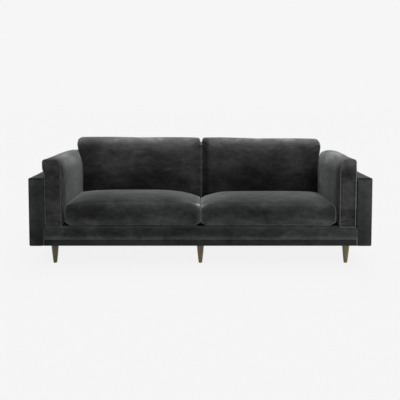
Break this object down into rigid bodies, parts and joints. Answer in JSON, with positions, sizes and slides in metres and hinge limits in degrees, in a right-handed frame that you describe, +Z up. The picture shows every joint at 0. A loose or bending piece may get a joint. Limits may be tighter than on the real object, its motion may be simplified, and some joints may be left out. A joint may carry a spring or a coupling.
{
  "type": "tuxedo sofa",
  "caption": "Low wide velvet sofa, outer arms as high as the outer back, loose arm, back and seat cushions standing above them, overhanging base band and slim turned tapered legs.",
  "frame": {"origin": "on the floor, under the middle of the sofa's box", "axes": "+X along the sofa's width to the viewer's right, +Y towards the back, +Z up"},
  "size_m": [2.3, 0.9, 0.8072],
  "materials": {
    "velvet": "charcoal cotton velvet, short pile",
    "lining": "black cambric and deck cloth, matt",
    "timber": "sawn softwood, unfinished",
    "webbing": "woven elastic webbing",
    "leg_wood": "turned hardwood, olive-brown satin stain",
    "steel": "zinc-plated steel"
  },
  "bodies": {
    "sofa_body": {"arm_bolt_left_1": "steel", "arm_bolt_left_2": "steel", "arm_bolt_right_1": "steel", "arm_bolt_right_2": "steel", "arm_cover_left": "velvet", "arm_cover_right": "velvet", "arm_frame_left": "timber", "arm_frame_right": "timber", "back_cover": "velvet", "back_frame": "timber", "base_cover": "velvet", "centre_rail": "timber", "cross_strap_1": "webbing", "cross_strap_2": "webbing", "cross_strap_3": "webbing", "deck_pad": "lining", "dust_cover": "lining", "front_block_centre": "timber", "front_block_left": "timber", "front_block_right": "timber", "front_rail": "timber", "leg_front_centre": "leg_wood", "leg_front_left": "leg_wood", "leg_front_right": "leg_wood", "leg_plate_front_centre": "steel", "leg_plate_front_left": "steel", "leg_plate_front_right": "steel", "leg_plate_rear_centre": "steel", "leg_plate_rear_left": "steel", "leg_plate_rear_right": "steel", "leg_rear_centre": "leg_wood", "leg_rear_left": "leg_wood", "leg_rear_right": "leg_wood", "rear_block_centre": "timber", "rear_block_left": "timber", "rear_block_right": "timber", "rear_rail": "timber", "seat_rail": "timber", "seat_strap_1": "webbing", "seat_strap_10": "webbing", "seat_strap_11": "webbing", "seat_strap_12": "webbing", "seat_strap_2": "webbing", "seat_strap_3": "webbing", "seat_strap_4": "webbing", "seat_strap_5": "webbing", "seat_strap_6": "webbing", "seat_strap_7": "webbing", "seat_strap_8": "webbing", "seat_strap_9": "webbing", "side_rail_left": "timber", "side_rail_right": "timber"},
    "arm_cushion_left": {"arm_cushion_left": "velvet"},
    "arm_cushion_right": {"arm_cushion_right": "velvet"},
    "back_cushion_left": {"back_cushion_left": "velvet"},
    "back_cushion_right": {"back_cushion_right": "velvet"},
    "seat_cushion_left": {"seat_cushion_left": "velvet"},
    "seat_cushion_right": {"seat_cushion_right": "velvet"}
  },
  "joints": [
    {"name": "arm_cushion_left_pull_out", "type": "slide", "parent": "sofa_body", "child": "arm_cushion_left", "axis": [0, -1, 0], "range_m": [0, 0.76]},
    {"name": "arm_cushion_right_pull_out", "type": "slide", "parent": "sofa_body", "child": "arm_cushion_right", "axis": [0, -1, 0], "range_m": [0, 0.76]},
    {"name": "back_cushion_left_lift", "type": "slide", "parent": "sofa_body", "child": "back_cushion_left", "axis": [0, 0.0958, 0.9954], "range_m": [0, 0.56]},
    {"name": "back_cushion_right_lift", "type": "slide", "parent": "sofa_body", "child": "back_cushion_right", "axis": [0, 0.0958, 0.9954], "range_m": [0, 0.56]},
    {"name": "seat_cushion_left_lift", "type": "slide", "parent": "sofa_body", "child": "seat_cushion_left", "axis": [0, 0, 1], "range_m": [0, 0.56]},
    {"name": "seat_cushion_right_lift", "type": "slide", "parent": "sofa_body", "child": "seat_cushion_right", "axis": [0, 0, 1], "range_m": [0, 0.56]}
  ]
}
